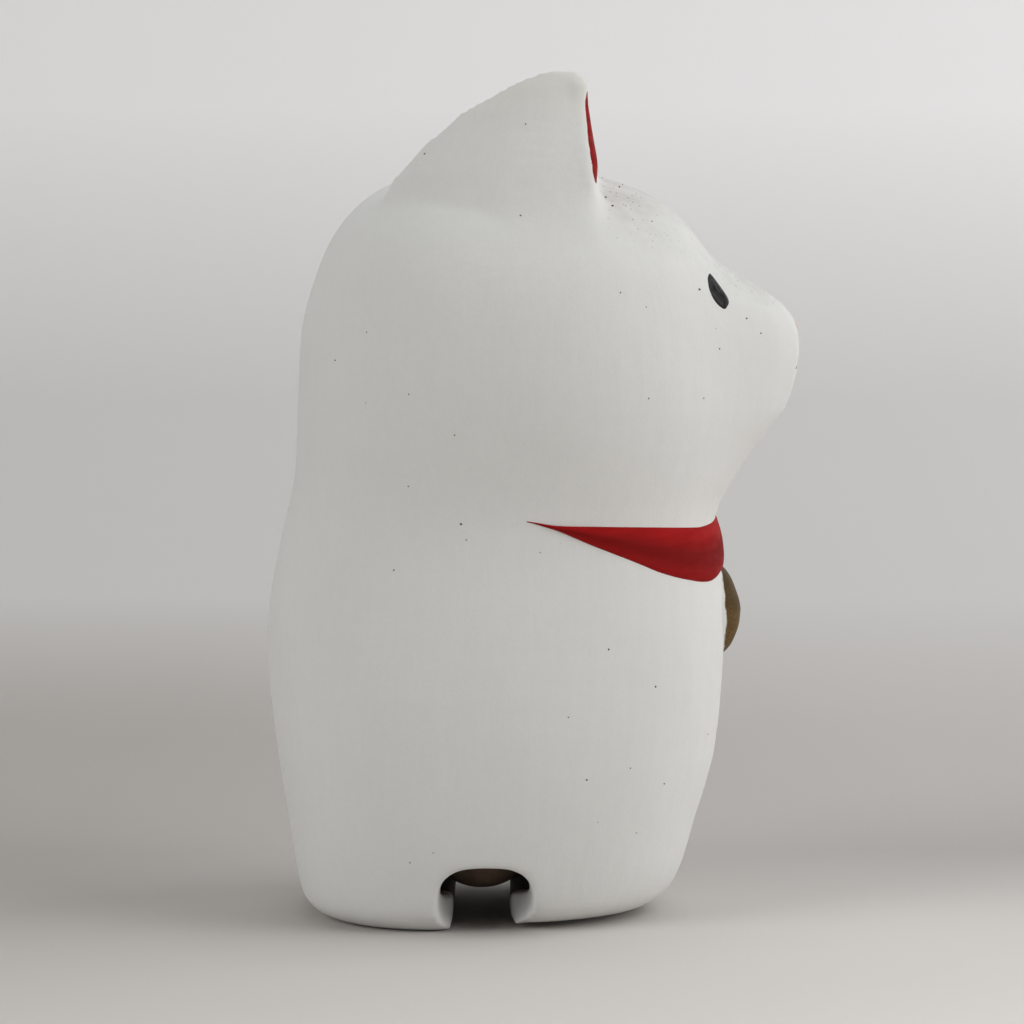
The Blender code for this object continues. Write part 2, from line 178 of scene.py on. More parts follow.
card = bmesh.new()
rows = [(CARD_NEAR, 0.0), (CARD_FLAT, 0.0)]
for i in range(1, CARD_STEPS + 1):
    angle = math.pi / 2 * i / CARD_STEPS
    rows.append((CARD_FLAT + CARD_BEND * math.sin(angle), CARD_BEND * (1 - math.cos(angle))))
rows.append((CARD_FLAT + CARD_BEND, CARD_RISE))
edges = []
for x, z in rows:
    edges.append([card.verts.new((x, side * CARD_WIDTH, z)) for side in (1, -1)])
for low, high in zip(edges, edges[1:]):
    card.faces.new((low[0], low[1], high[1], high[0]))
card_mesh = bpy.data.meshes.new("card")
card.to_mesh(card_mesh)
card.free()
card_mesh.shade_smooth()
card_mesh.materials.append(card_material)
card_object = bpy.data.objects.new("card", card_mesh)
scene.collection.objects.link(card_object)


def area_light(name, place, target, size, power, colour):
    data = bpy.data.lights.new(name, "AREA")
    data.shape = "DISK"
    data.size = size
    data.energy = power
    data.color = colour
    lamp = bpy.data.objects.new(name, data)
    lamp.location = place
    aim = Vector(target) - Vector(place)
    lamp.rotation_euler = aim.to_track_quat("-Z", "Y").to_euler()
    scene.collection.objects.link(lamp)


PANEL = 0.7  # across each lit panel
CAT_MIDDLE = (0.0, 0.0, top_z / 2)
for panel, place, power in (
    ("window", (-0.50, -0.80, 0.60), 2.45),
    ("window_side", (0.0, -1.00, 0.30), 1.35),
    ("window_sill", (-0.30, -0.90, 0.12), 1.55),
    ("window_low", (-1.00, 0.10, 0.02), 0.32),
    ("ceiling", (0.0, 0.0, 1.10), 2.15),
    ("ceiling_ahead", (0.0, -0.60, 0.90), 2.1),
    ("far_wall", (-0.60, 0.80, 0.50), 4.0),
    ("room_behind", (0.0, 1.00, 0.30), 0.5),
):
    area_light(panel, place, CAT_MIDDLE, PANEL, power, (1.0, 0.995, 0.985))

CARD_LIGHT = (0.16, -0.30, 0.30)
area_light("card_light", CARD_LIGHT, (0.45, -0.12, 0.15), 0.20, 0.24, (0.98, 0.985, 1.0))

world = bpy.data.worlds.new("room")
world.use_nodes = True
world.node_tree.nodes["Background"].inputs["Strength"].default_value = 0.0
scene.world = world
scene.view_settings.view_transform = "Standard"

VIEW_DISTANCE = 0.400
VIEW_WIDTH = 0.0982  # what the frame takes in at the cat
VIEW_RISE = math.radians(3.0)
VIEW_AIM = Vector((0.0, slot_y - 0.0027, 0.4786 * top_z))

camera_data = bpy.data.cameras.new("camera")
camera_data.sensor_width = 36.0
camera_data.lens = camera_data.sensor_width * VIEW_DISTANCE / VIEW_WIDTH
camera_data.clip_start = 0.01
camera = bpy.data.objects.new("camera", camera_data)
view_line = Vector((-math.cos(VIEW_RISE), 0.0, math.sin(VIEW_RISE)))
camera.location = VIEW_AIM + view_line * VIEW_DISTANCE
camera.rotation_euler = (-view_line).to_track_quat("-Z", "Y").to_euler()
scene.collection.objects.link(camera)
scene.camera = camera


# --- The luted body ------------------------------------------------------------------------------
# Two halves of pressed clay, luted along the joint over the slot and wiped smooth, so that the
# joint can't be seen from outside. The edges are rounded by wet fingers and the whole outside is
# dipped in a white ground of powdered shell.

CLAY_GRAIN = 0.0004  # the spacing of the body's mesh
LUTING_GAP = 0.0003
JOINT_BEND = 0.500 * top_z  # the joint runs straight up to here, then forward
JOINT_TOP = -0.0021  # where it comes through the ear tips


def tree_of(bm):
    bm.verts.ensure_lookup_table()
    return BVHTree.FromBMesh(bm)


def welded_copy(node):
    """The CAD node's mesh with its loose triangles joined up."""
    bm = bmesh.new()
    bm.from_mesh(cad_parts[node].data)
    bmesh.ops.remove_doubles(bm, verts=bm.verts, dist=1e-6)
    return bm


def close_gap(bm, other, reach, lap):
    """Moves every point that is within reach of the other piece onto it, and lap further in."""
    for vert in bm.verts:
        place, _, _, distance = other.find_nearest(vert.co, reach)
        if place is not None and distance > 0:
            vert.co += (place - vert.co) * (1 + lap / distance)


def evaluated(obj):
    bpy.context.view_layer.update()
    return bpy.data.meshes.new_from_object(
        obj.evaluated_get(bpy.context.evaluated_depsgraph_get())
    )


def temporary(mesh):
    obj = bpy.data.objects.new(mesh.name, mesh)
    scene.collection.objects.link(obj)
    return obj


def kneaded(name, bm, grain, strokes):
    """The closed pieces in bm as one even skin, smoothed by a number of strokes."""
    mesh = bpy.data.meshes.new(name)
    bm.to_mesh(mesh)
    bm.free()
    obj = temporary(mesh)
    remesh = obj.modifiers.new("one skin", "REMESH")
    remesh.mode = "VOXEL"
    remesh.voxel_size = grain
    smooth = obj.modifiers.new("wiped", "SMOOTH")
    smooth.factor = 0.5
    smooth.iterations = strokes
    made = evaluated(obj)
    bpy.data.objects.remove(obj)
    return made


def wiped(mesh, weights, strokes, sideways=False):
    """The mesh smoothed again by its weights, one for each point. Sideways, points move only along
    X, so that the outline seen from the side stays as it is."""
    obj = temporary(mesh)
    obj.vertex_groups.clear()
    group = obj.vertex_groups.new(name="wet")
    for index in np.nonzero(weights > 0.02)[0]:
        group.add([int(index)], float(weights[index]), "REPLACE")
    smooth = obj.modifiers.new("wiped", "SMOOTH")
    smooth.factor = 0.5
    smooth.iterations = strokes
    smooth.use_y = smooth.use_z = not sideways
    smooth.vertex_group = "wet"
    made = evaluated(obj)
    bpy.data.objects.remove(obj)
    return made


def points_of(mesh):
    points = np.empty(len(mesh.vertices) * 3)
    mesh.vertices.foreach_get("co", points)
    return points.reshape(-1, 3)


def normals_of(mesh):
    normals = np.empty(len(mesh.vertices) * 3)
    mesh.vertices.foreach_get("normal", normals)
    return normals.reshape(-1, 3)


def move_points(mesh, points):
    mesh.vertices.foreach_set("co", points.ravel())
    mesh.update()


def soft_step(value, start, end):
    share = np.clip((value - start) / (end - start), 0.0, 1.0)
    return share * share * (3 - 2 * share)


front, back = welded_copy("front_shell"), welded_copy("back_shell")
front_tree, back_tree = tree_of(front), tree_of(back)
close_gap(front, back_tree, 1.2 * LUTING_GAP, LUTING_GAP)
close_gap(back, front_tree, 1.2 * LUTING_GAP, LUTING_GAP)
pressed = bpy.data.meshes.new("pressed")
front.to_mesh(pressed)
back.from_mesh(pressed)
front.free()
skin = kneaded("skin", back, CLAY_GRAIN, 6)

# The lips of the slot and its scoops are wiped rounder than the rest.
points = points_of(skin)
near_slot = 1 - soft_step(np.abs(points[:, 1] - slot_y), 0.0042, 0.0062)
near_floor = 1 - soft_step(points[:, 2], 0.0055, 0.0075)
skin = wiped(skin, near_slot * near_floor, 8)
points = points_of(skin)
near_lips = 1 - soft_step(np.abs(points[:, 1] - slot_y), 0.0040, 0.0055)
skin = wiped(skin, near_lips * (1 - soft_step(points[:, 2], 0.0010, 0.0022)), 22)

# The ears run down into the sides of the head without an edge.
points = points_of(skin)
outside = soft_step(np.abs(points[:, 0]), 0.0095, 0.0125) * soft_step(points[:, 2], 0.050, 0.056)
behind_face = soft_step(points[:, 1], -0.0045, -0.0015)
ear_root = behind_face * (1 - soft_step(points[:, 2], 0.0730, 0.0780))
skin = wiped(skin, outside * ear_root, 400, sideways=True)
points = points_of(skin)
outside = soft_step(np.abs(points[:, 0]), 0.0125, 0.0150) * soft_step(points[:, 2], 0.054, 0.059)
temple = soft_step(points[:, 1], -0.0125, -0.0095) * (1 - soft_step(points[:, 2], 0.0672, 0.0692))
temple *= 1 - soft_step(points[:, 1], -0.0015, 0.0015)
skin = wiped(skin, outside * temple, 120)
points = points_of(skin)
nape = soft_step(points[:, 1], 0.0095, 0.0125) * soft_step(points[:, 2], 0.060, 0.063)
skin = wiped(skin, nape * (1 - soft_step(points[:, 2], 0.0700, 0.0735)), 40)

# The resting foreleg is nearly lost under the ground: the right side of the chest is brought most
# of the way to the plain left side.
LEG_LOST = 0.85
points = points_of(skin)
right_chest = (points[:, 0] < -0.002) & (points[:, 1] < -0.006) & (points[:, 2] < 0.040)
right_chest &= points[:, 2] > 0.0015
bm = bmesh.new()
bm.from_mesh(skin)
skin_tree = tree_of(bm)
bm.free()
fold = Vector((-1.0, 1.0, 1.0))
for index in np.nonzero(right_chest)[0]:
    place, _, _, distance = skin_tree.find_nearest(Vector(points[index]) * fold, 0.001)
    if place is not None:
        points[index] += LEG_LOST * (np.array(place * fold) - points[index])
move_points(skin, points)


def scooped_free(place):
    """False in the slot and its scoops, where the white ground runs in from outside."""
    return abs(place.x) < 0.0100 or abs(place.y - slot_y) > 0.0055 or place.z > 0.0066


def inner_share(mesh):
    """For each point, 1 in the hollow and 0 outside: from the hollow, a line straight out from the
    body's axis meets the wall again."""
    bm = bmesh.new()
    bm.from_mesh(mesh)
    tree = tree_of(bm)
    share = np.zeros(len(bm.verts))
    for vert in bm.verts:
        if scooped_free(vert.co) and 0.0012 < vert.co.z < 0.86 * top_z:
            out = Vector((vert.co.x, vert.co.y - slot_y, 0.0)).normalized()
            if tree.ray_cast(vert.co + out * 0.0005, out)[0] is not None:
                share[vert.index] = 1.0
    bm.free()
    return share


# The front half stands on its middle, so its rim is a little off the table.
RIM_LIFT = 0.0006
points = points_of(skin)
forward = soft_step(slot_y - points[:, 1], 0.0010, 0.0045)
outward = soft_step(np.hypot(points[:, 0], points[:, 1] - slot_y), 0.006, 0.016)
points[:, 2] += RIM_LIFT * forward * outward * (1 - soft_step(points[:, 2], 0.0, 0.006))
move_points(skin, points)


# --- The raised foreleg --------------------------------------------------------------------------
# The left foreleg is rolled by hand and luted to the shoulder and the cheek with slip, which is
# wiped into a soft fillet. Two short dents part its toes.

LEG_GRAIN = 0.0003
FILLET = 0.0007

leg = welded_copy("raised_foreleg")
close_gap(leg, front_tree, 0.0007, 0.0007)
foreleg = kneaded("foreleg", leg, LEG_GRAIN, 8)
leg_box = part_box("raised_foreleg")


def dent(points, normals, start, end, width, depth):
    """Presses a straight groove into the skin from start to end, seen from the front."""
    start, end = np.array(start), np.array(end)
    flat, line = points[:, (0, 2)], end - start
    share = np.clip(((flat - start) @ line) / (line @ line), 0.0, 1.0)
    away = np.linalg.norm(flat - (start + share[:, None] * line), axis=1)
    facing = soft_step(-normals[:, 1], -0.1, 0.5)
    points -= normals * (depth * np.exp(-((away / width) ** 2)) * facing)[:, None]


points, normals = points_of(foreleg), normals_of(foreleg)
paw_x, paw_z = points[points[:, 2] > leg_box[1].z - 0.006][:, 0].mean(), leg_box[1].z
for lean in (-1, 1):
    top = (paw_x + lean * 0.0016, paw_z + 0.0005)
    low = (paw_x + lean * 0.0011, paw_z - 0.0028)
    dent(points, normals, top, low, 0.00042, 0.0006)
move_points(foreleg, points)

# The slip: the body swells softly where the foreleg meets it.
leg = bmesh.new()
leg.from_mesh(foreleg)
leg_tree = tree_of(leg)
points, normals = points_of(skin), normals_of(skin)
low, high = np.array(leg_box[0]) - 0.004, np.array(leg_box[1]) + 0.004
for index in np.nonzero(((points > low) & (points < high)).all(1))[0]:
    _, _, _, distance = leg_tree.find_nearest(Vector(points[index]), 0.004)
    if distance is not None:
        points[index] += normals[index] * FILLET * math.exp(-distance / FILLET)
leg.free()


# --- The face in low relief ----------------------------------------------------------------------
# Modelled in the mould: the ridge that runs down from each ear, the nose and the cheeks beside it,
# and the mouth.


def swell(points, normals, centre, reach, height):
    """Raises the skin by up to height round a centre, fading over reach along X, Y and Z."""
    away = (points - np.array(centre)) / np.array(reach)
    points += normals * (height * np.exp(-(away**2).sum(1)))[:, None]


NOSE_Z = 0.0560
face_y = cad_box[0][1]
for side in (1, -1):
    swell(points, normals, (side * 0.0142, -0.0046, 0.0784), (0.0030, 0.0014, 0.0014), 0.00055)
    swell(points, normals, (side * 0.0160, -0.0053, 0.0710), (0.0030, 0.0014, 0.0022), 0.00025)
    cheek = (side * 0.0030, face_y, NOSE_Z - 0.0038)
    swell(points, normals, cheek, (0.0028, 0.004, 0.0026), 0.0002)
swell(points, normals, (0.0, face_y, NOSE_Z), (0.0017, 0.004, 0.0012), 0.0001)
dent(points, normals, (0.0, NOSE_Z - 0.0010), (0.0, NOSE_Z - 0.0034), 0.00035, 0.0003)
for side in (1, -1):
    dent(points, normals, (0.0, NOSE_Z - 0.0034), (side * 0.0019, NOSE_Z - 0.0042), 0.00035, 0.0002)
move_points(skin, points)


# --- The white ground ----------------------------------------------------------------------------
# Powdered shell in hide glue, brushed over the whole outside. It is matt and slightly chalky, with
# faint brush lines, grit from the clay, dust on what faces up, and cream where the ear tips are
# handled. Inside, the clay is bare, and its brown is painted darker as shade in the hollow.


def bumped(material, shader, *layers):
    """Bumps the shader by layers of (height, distance in metres)."""
    normal = None
    for height, distance in layers:
        bump = add_node(material, "ShaderNodeBump", Strength=1.0, Distance=distance)
        join(material, height, bump.inputs["Height"])
        if normal is not None:
            join(material, normal, bump.inputs["Normal"])
        normal = bump.outputs["Normal"]
    join(material, normal, shader.inputs["Normal"])


def specks(material, place, scale, size, share):
    """1 in round specks about size across, in a share of the cells of this scale."""
    cells = add_node(material, "ShaderNodeTexVoronoi", Scale=scale)
    join(material, place, cells.inputs["Vector"])
    reach = size * scale
    dot = ranged(material, cells.outputs["Distance"], reach * 0.35, reach * 0.5, 1.0, 0.0)
    chosen = add_node(material, "ShaderNodeSeparateColor")
    join(material, cells.outputs["Color"], chosen.inputs["Color"])
    kept = ranged(material, chosen.outputs["Red"], 1.0 - share, 1.0 - share * 0.6)
    return times(material, dot, kept)


def whitened(name):
    made, shader = shader_of(name)
    place = object_place(made)
    brushed = object_place(made, (1.0, 1.0, 0.16))
    cloud = ranged(made, noise(made, place, 60.0, 3.0), 0.3, 0.7)
    colour = blended(made, cloud, (0.810, 0.815, 0.798), (0.842, 0.847, 0.832))
    lines = ranged(made, noise(made, brushed, 1400.0, 2.0), 0.25, 0.75, 0.0, 0.06)
    colour = blended(made, lines, colour, (0.62, 0.62, 0.60))
    cells = ranged(made, noise(made, place, 2600.0, 1.0), 0.3, 0.7, 0.0, 0.06)
    colour = blended(made, cells, colour, (0.62, 0.62, 0.60))

    where = add_node(made, "ShaderNodeSeparateXYZ")
    join(made, place, where.inputs["Vector"])
    tip = ranged(made, where.outputs["Z"], 0.0735, 0.0785, 0.0, 0.35)
    colour = blended(made, times(made, tip, cloud), colour, (0.74, 0.68, 0.56))

    up = add_node(made, "ShaderNodeNewGeometry")
    facing = add_node(made, "ShaderNodeSeparateXYZ")
    join(made, up.outputs["Normal"], facing.inputs["Vector"])
    upward = ranged(made, facing.outputs["Z"], 0.45, 0.85)
    ahead = times(made, upward, ranged(made, where.outputs["Y"], -0.003, -0.006))
    patches = ranged(made, noise(made, place, 260.0, 3.0, 0.7), 0.35, 0.65, 0.05, 0.40)
    film = times(made, ahead, patches)
    colour = blended(made, film, colour, (0.50, 0.50, 0.48))
    dust = times(made, ahead, specks(made, place, 1900.0, 0.00022, 0.5))
    colour = blended(made, dust, colour, (0.26, 0.25, 0.23))
    grit = specks(made, place, 420.0, 0.00020, 0.42)
    colour = blended(made, grit, colour, (0.16, 0.145, 0.125))

    inside = add_node(made, "ShaderNodeAttribute", attribute_name="inside")
    hollow = ranged(made, inside.outputs["Fac"], 0.25, 0.75)
    # Painted shade: the bare clay in the hollow is painted darker than its own brown.
    clay = blended(made, cloud, (0.16, 0.105, 0.07), (0.24, 0.165, 0.11))
    join(made, blended(made, hollow, colour, clay), shader.inputs["Base Color"])
    join(made, ranged(made, cloud, 0.0, 1.0, 0.74, 0.86), shader.inputs["Roughness"])
    shader.inputs["Specular IOR Level"].default_value = 0.28
    bumped(
        made,
        shader,
        (noise(made, place, 150.0, 2.0), 0.00018),
        (noise(made, brushed, 1400.0, 2.0), 0.00002),
        (noise(made, place, 5200.0, 2.0), 0.00002),
    )
    return made


white_ground = whitened("white_ground")


def piece(name, mesh, finish, body, node=None):
    """A finished piece on its body, in place of its CAD node if it has one."""
    obj = bpy.data.objects.new(name, mesh)
    scene.collection.objects.link(obj)
    mesh.materials.clear()
    mesh.materials.append(finish)
    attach(obj, body)
    if node is not None:
        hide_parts(node)
    return obj


def smoothed(mesh, sharp=50.0):
    mesh.shade_smooth()
    mesh.set_sharp_from_angle(angle=math.radians(sharp))
    return mesh


def store(mesh, name, values):
    attribute = mesh.attributes.new(name, "FLOAT", "POINT")
    attribute.data.foreach_set("value", np.asarray(values, np.float32))


def joint_y(z):
    """Where the two halves meet."""
    return slot_y + (JOINT_TOP - slot_y) * soft_step(z, JOINT_BEND, top_z)


def half_of(mesh, name, side):
    """The part of the mesh in front of the joint (side -1) or behind it (side 1), closed."""
    bm = bmesh.new()
    bm.from_mesh(mesh)
    for vert in bm.verts:
        vert.co.y -= float(joint_y(vert.co.z))
    cut = bmesh.ops.bisect_plane(
        bm,
        geom=bm.verts[:] + bm.edges[:] + bm.faces[:],
        dist=1e-7,
        plane_co=(0, 0, 0),
        plane_no=(0, -side, 0),
        clear_outer=True,
    )
    rim = [item for item in cut["geom_cut"] if isinstance(item, bmesh.types.BMEdge)]
    bmesh.ops.triangle_fill(bm, edges=rim, use_beauty=True, normal=(0, -side, 0))
    for vert in bm.verts:
        vert.co.y += float(joint_y(vert.co.z))
    bmesh.ops.recalc_face_normals(bm, faces=bm.faces)
    made = bpy.data.meshes.new(name)
    bm.to_mesh(made)
    bm.free()
    return smoothed(made)


store(skin, "inside", inner_share(skin))
for side, name in ((-1, "front"), (1, "back")):
    half = half_of(skin, f"{name}_half", side)
    piece(f"{name}_half", half, white_ground, BODY, f"{name}_shell")
store(foreleg, "inside", np.zeros(len(foreleg.vertices)))
piece("foreleg", smoothed(foreleg), white_ground, BODY, "raised_foreleg")

body = bmesh.new()
body.from_mesh(skin)
body_tree = tree_of(body)
body.free()


# --- The painted ears, eyes and nose -------------------------------------------------------------
# Laid on with a round brush: dull red inside the ears, a drop of black lacquer for each eye, and a
# touch of pink on the nose. Each is a thin film with a soft edge.

FILM = 0.00012
OFF_BODY = 0.050  # from here, a line runs straight onto the body


def on_skin(start, aim):
    """Where a line from start meets the body, and the skin's normal there. A line that passes the
    body is brought in until it meets it."""
    start, aim = Vector(start), Vector(aim)
    inward = Vector((0.0, slot_y, 0.7 * top_z)) - start
    inward -= aim * inward.dot(aim)
    for step in range(20):
        place, normal, _, _ = body_tree.ray_cast(start + step * 0.0001 * inward.normalized(), aim)
        if place is not None:
            break
    return place, normal


def dab(name, outline, start_of, aim, thickness, rings=9, crown=3.0):
    """A dab of paint: outline is a ring of (u, v) round (0, 0), which start_of turns into a point
    off the body, from which aim leads to the skin."""
    bm = bmesh.new()
    count = len(outline)
    rows = []
    for ring in range(rings + 2):
        share = min(ring, rings) / rings
        proud = thickness * (1 - share**crown) if ring <= rings else -0.0002
        row = []
        for u, v in outline if ring else outline[:1]:
            place, normal = on_skin(start_of(u * share, v * share), aim)
            row.append(bm.verts.new(place + normal * proud))
        rows.append(row)
    for i in range(count):
        bm.faces.new((rows[0][0], rows[1][i], rows[1][(i + 1) % count]))
    for low, high in zip(rows[1:], rows[2:]):
        for i in range(count):
            j = (i + 1) % count
            bm.faces.new((low[i], high[i], high[j], low[j]))
    bm.faces.new(rows[-1])
    bmesh.ops.recalc_face_normals(bm, faces=bm.faces)
    mesh = bpy.data.meshes.new(name)
    bm.to_mesh(mesh)
    bm.free()
    return smoothed(mesh, 60.0)


def painted(name, dark, light, roughness, coat=0.0):
    """A brushed paint that varies between two colours."""
    made, shader = shader_of(name)
    place = object_place(made)
    streak = object_place(made, (1.0, 1.0, 3.0))
    strokes = ranged(made, noise(made, streak, 420.0, 3.0, 0.6), 0.3, 0.7)
    join(made, blended(made, strokes, dark, light), shader.inputs["Base Color"])
    shader.inputs["Roughness"].default_value = roughness
    shader.inputs["Specular IOR Level"].default_value = 0.06
    shader.inputs["Coat Weight"].default_value = coat
    shader.inputs["Coat Roughness"].default_value = 0.12
    fine, coarse = noise(made, place, 4000.0), noise(made, streak, 900.0, 2.0)
    bumped(made, shader, (coarse, 0.00003), (fine, 0.00001))
    return made


red_paint = painted("red_paint", (0.22, 0.009, 0.009), (0.34, 0.014, 0.014), 0.62)
# From the tip down the outer edge, and up the inner one.
EAR_RED = (
    (0.0143, 0.0781),
    (0.0154, 0.0749),
    (0.0164, 0.0730),
    (0.0171, 0.0712),
    (0.0175, 0.0699),
    (0.0171, 0.0690),
    (0.0130, 0.0693),
    (0.0098, 0.0700),
    (0.0104, 0.0716),
    (0.0132, 0.0763),
)
EAR_MIDDLE = (0.0144, 0.0725)


def softened(corners, rounds=3):
    """A ring of corners with every corner cut, so that it bends smoothly."""
    for _ in range(rounds):
        ring = []
        for (a, b), (c, d) in zip(corners, corners[1:] + corners[:1]):
            ring.append((a + (c - a) * 0.2, b + (d - b) * 0.2))
            ring.append((a + (c - a) * 0.8, b + (d - b) * 0.8))
        corners = ring
    return corners


for side, name in ((1, "left"), (-1, "right")):
    outline = softened([(side * (x - EAR_MIDDLE[0]), z - EAR_MIDDLE[1]) for x, z in EAR_RED])

    def ear_start(u, v):
        return (side * EAR_MIDDLE[0] + u, -OFF_BODY, EAR_MIDDLE[1] + v)

    mesh = dab(f"{name}_ear_red", outline, ear_start, (0, 1, 0), 2 * FILM)
    piece(mesh.name, mesh, red_paint, BODY)

black_lacquer = painted("black_lacquer", (0.007, 0.007, 0.008), (0.013, 0.013, 0.014), 0.30, 0.25)
# Seen from the side, round from the point: forward of the middle and up.
EYE = (
    (-0.00064, 0.00169),
    (-0.00088, 0.00117),
    (-0.00077, 0.00024),
    (-0.00048, -0.00050),
    (-0.00001, -0.00115),
    (0.00067, -0.00162),
    (0.00111, -0.00097),
    (0.00092, -0.00041),
    (0.00046, 0.00024),
    (-0.00008, 0.00099),
)
EYE_MIDDLE = (-0.01705, 0.0592)
EYE_SPREAD = 1.07  # makes up for the cut corners
for side, name in ((1, "left"), (-1, "right")):

    def eye_start(u, v):
        return (side * OFF_BODY, EYE_MIDDLE[0] - u, EYE_MIDDLE[1] + v)

    outline = softened([(EYE_SPREAD * u, EYE_SPREAD * v) for u, v in EYE], 2)
    mesh = dab(f"{name}_eye", outline, eye_start, (-side, 0, 0), 2 * FILM)
    piece(mesh.name, mesh, black_lacquer, BODY)

pink_paint = painted("pink_paint", (0.72, 0.58, 0.53), (0.76, 0.64, 0.59), 0.6)
turns = np.arange(0, 2 * math.pi, 0.2)
nose_outline = [(0.0008 * math.cos(turn), 0.0005 * math.sin(turn)) for turn in turns]


def nose_start(u, v):
    return (u, -OFF_BODY, NOSE_Z + v)


piece("nose", dab("nose", nose_outline, nose_start, (0, 1, 0), FILM), pink_paint, BODY)


# --- Grains in the ground ------------------------------------------------------------------------
# Coarse grains of sand and burnt clay that show through the white ground on the right side of the
# cat, where it was brushed thinnest.

# How far back and how high, in millimetres, and how coarse.
GRAINS = (
    (-6.8, 70.3, 0.30),
    (-8.0, 69.0, 0.26),
    (-8.4, 69.3, 0.20),
    (-6.6, 67.9, 0.34),
    (-7.2, 67.1, 0.34),
    (-10.9, 65.7, 0.20),
    (-15.3, 59.4, 0.34),
    (-19.9, 56.7, 0.28),
    (-21.3, 55.3, 0.22),
    (-7.8, 59.1, 0.24),
    (-17.2, 53.9, 0.22),
    (0.8, 74.5, 0.24),
    (10.1, 71.9, 0.26),
    (18.3, 52.9, 0.24),
    (6.7, 38.0, 0.40),
    (-6.8, 26.5, 0.28),
    (-11.2, 22.8, 0.28),
    (-3.1, 20.4, 0.24),
    (-4.8, 14.5, 0.30),
    (-12.1, 13.5, 0.24),
)
MM = 0.001
GRAIN_RADIUS = 0.00033  # of a grain with a coarseness of 1
GRAIN_PROUD = 0.00004
CORNERS = 9
grain_paint = painted("burnt_grain", (0.08, 0.07, 0.06), (0.17, 0.15, 0.13), 0.8)
grains = bmesh.new()
chance = np.random.default_rng(5)
for back_mm, up_mm, coarse in GRAINS:
    radii = GRAIN_RADIUS * coarse * chance.uniform(0.75, 1.15, CORNERS)
    turns = np.arange(CORNERS) * 2 * math.pi / CORNERS
    outline = list(zip(radii * np.cos(turns), radii * np.sin(turns)))

    def grain_start(u, v):
        return (-OFF_BODY, MM * back_mm + u, MM * up_mm + v)

    mesh = dab("grain", outline, grain_start, (1, 0, 0), GRAIN_PROUD, rings=3)
    grains.from_mesh(mesh)
    bpy.data.meshes.remove(mesh)
mesh = bpy.data.meshes.new("grains")
grains.to_mesh(mesh)
grains.free()
piece("grains", smoothed(mesh), grain_paint, BODY)


# --- The collar ----------------------------------------------------------------------------------
# A flat strip of clay laid round the neck in front, which runs out to a point at each side. It is
# pressed down along its edges and painted red, with painted light and shade: lighter along its
# edges, darker along the middle.

COLLAR_ROUND = 180
COLLAR_ACROSS = 20
# Degrees round from a point to the front, and the height of the edge there in millimetres.
UPPER_EDGE = (
    (0, 4.9, 9, 20.5, 36.9, 61.6, 75.5, 90),
    (38.35, 38.0, 37.8, 37.7, 37.5, 37.15, 37.4, 37.9),
)
LOWER_EDGE = (
    (0, 3.5, 9, 14.6, 20.3, 26.2, 32.5, 39.3, 47.1, 57.4, 64.5, 71, 78.8, 90),
    (38.3, 37.9, 37.35, 36.5, 35.7, 34.95, 34.15, 33.25, 32.6, 32.05, 31.95, 32.2, 32.6, 32.8),
)
tip_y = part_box("collar")[1].y


def eased(table, degrees):
    """The table's heights in metres at each of the degrees, with its corners eased."""
    spread = np.linspace(-3.0, 3.0, 13)
    return MM * np.mean([np.interp(np.clip(degrees + s, 0, 90), *table) for s in spread], axis=0)


turns = np.linspace(0.4, 179.6, COLLAR_ROUND + 1)
folded = np.minimum(turns, 180 - turns)
uppers, lowers = eased(UPPER_EDGE, folded), eased(LOWER_EDGE, folded)
lowers = np.minimum(lowers, uppers - 0.0001)
collar_bm = bmesh.new()
across = collar_bm.verts.layers.float.new("across")
rows = []
for turn, fold, upper, lower in zip(turns, folded, uppers, lowers):
    aim = Vector((-math.cos(math.radians(turn)), math.sin(math.radians(turn)), 0.0))
    start = Vector((0.0, tip_y, 0.0)) - 0.045 * aim
    rise = float(soft_step(np.float64(fold), -4.0, 16.0))
    ahead = float(soft_step(np.float64(fold), 50.0, 85.0))
    outer, inner = [], []
    for j in range(COLLAR_ACROSS + 1):
        t = j / COLLAR_ACROSS
        place, normal = on_skin((start.x, start.y, lower + (upper - lower) * t), aim)
        edge = (1 - abs(2 * t - 1) ** 7) ** 0.5
        proud = rise * (0.00022 + (0.00022 + 0.00020 * ahead) * math.sin(math.pi * t)) * edge
        outer.append(collar_bm.verts.new(place + normal * (proud - 0.00002)))
        inner.append(collar_bm.verts.new(place - normal * 0.0003))
        outer[-1][across] = inner[-1][across] = t
    rows.append(outer + inner[::-1])
for before, after in zip(rows, rows[1:]):
    for j in range(len(before)):
        k = (j + 1) % len(before)
        collar_bm.faces.new((before[j], after[j], after[k], before[k]))
collar_bm.faces.new(rows[0])
collar_bm.faces.new(rows[-1])
bmesh.ops.recalc_face_normals(collar_bm, faces=collar_bm.faces)
collar_mesh = bpy.data.meshes.new("red_collar")
collar_bm.to_mesh(collar_mesh)
collar_bm.free()

# Painted light and shade across the band: lighter along the upper edge, as if lit from above,
# darker along the middle, and lighter again along the lower edge.
collar_red, collar_shader = shader_of("collar_red")
place = object_place(collar_red)
height = add_node(collar_red, "ShaderNodeAttribute", attribute_name="across").outputs["Fac"]
streaks = noise(collar_red, object_place(collar_red, (1.0, 1.0, 5.0)), 260.0, 3.0, 0.6)
above = ranged(collar_red, height, 0.50, 0.85)
below = ranged(collar_red, height, 0.35, 0.10, 0.0, 0.80)
colour = blended(collar_red, above, (0.225, 0.008, 0.008), (0.420, 0.011, 0.011))
colour = blended(collar_red, below, colour, (0.350, 0.013, 0.013))
streaked = ranged(collar_red, streaks, 0.35, 0.7, 0.0, 0.35)
colour = blended(collar_red, streaked, colour, (0.17, 0.006, 0.007))
join(collar_red, colour, collar_shader.inputs["Base Color"])
dry = ranged(collar_red, streaks, 0.3, 0.7, 0.55, 0.7)
